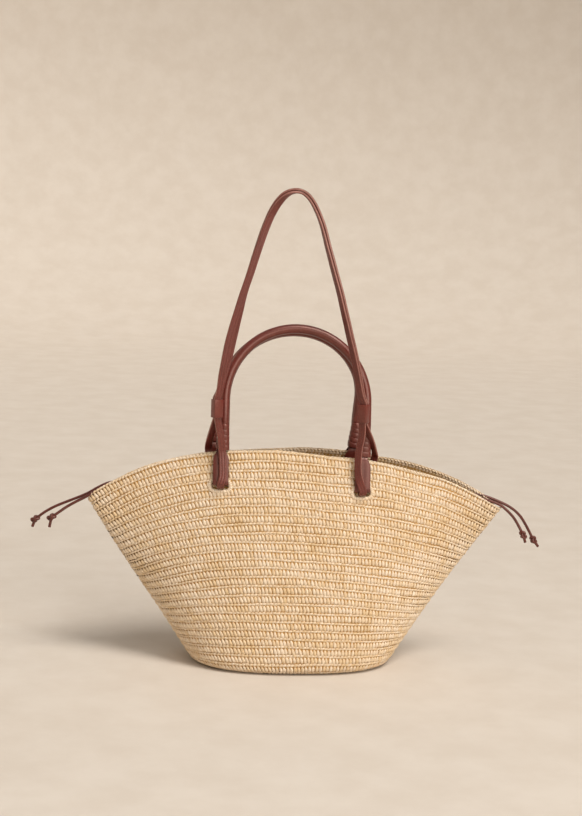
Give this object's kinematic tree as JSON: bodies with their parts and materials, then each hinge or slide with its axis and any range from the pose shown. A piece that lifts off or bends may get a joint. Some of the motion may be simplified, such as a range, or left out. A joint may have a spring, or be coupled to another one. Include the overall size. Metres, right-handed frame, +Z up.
{
  "type": "straw basket bag",
  "caption": "Crocheted raffia basket bag with an oval base and pinched mouth, short rolled leather handles, a doubled leather shoulder strap and knotted leather drawcords.",
  "frame": {"origin": "centre of the base's underside", "axes": "+Z up, +Y from the front panel to the back panel, +X to the right seen from the front"},
  "size_m": [0.5884, 0.1486, 0.5388],
  "materials": {
    "raffia": "crocheted natural raffia, matt to satin",
    "leather": "smooth reddish brown leather, semi-gloss",
    "thong": "reddish brown leather thong, satin"
  },
  "bodies": {
    "root": {"basket_body": "raffia", "front_handle": "leather", "back_handle": "leather", "shoulder_strap": "leather", "left_keeper": "leather", "right_keeper": "leather", "front_left_loop": "leather", "front_left_wrap": "thong", "front_right_loop": "leather", "front_right_wrap": "thong", "back_left_loop": "leather", "back_left_wrap": "thong", "back_right_loop": "leather", "back_right_wrap": "thong", "left_back_cord": "thong", "left_back_knot": "thong", "left_front_cord": "thong", "left_front_knot": "thong", "right_back_cord": "thong", "right_back_knot": "thong", "right_front_cord": "thong", "right_front_knot": "thong"}
  },
  "joints": []
}
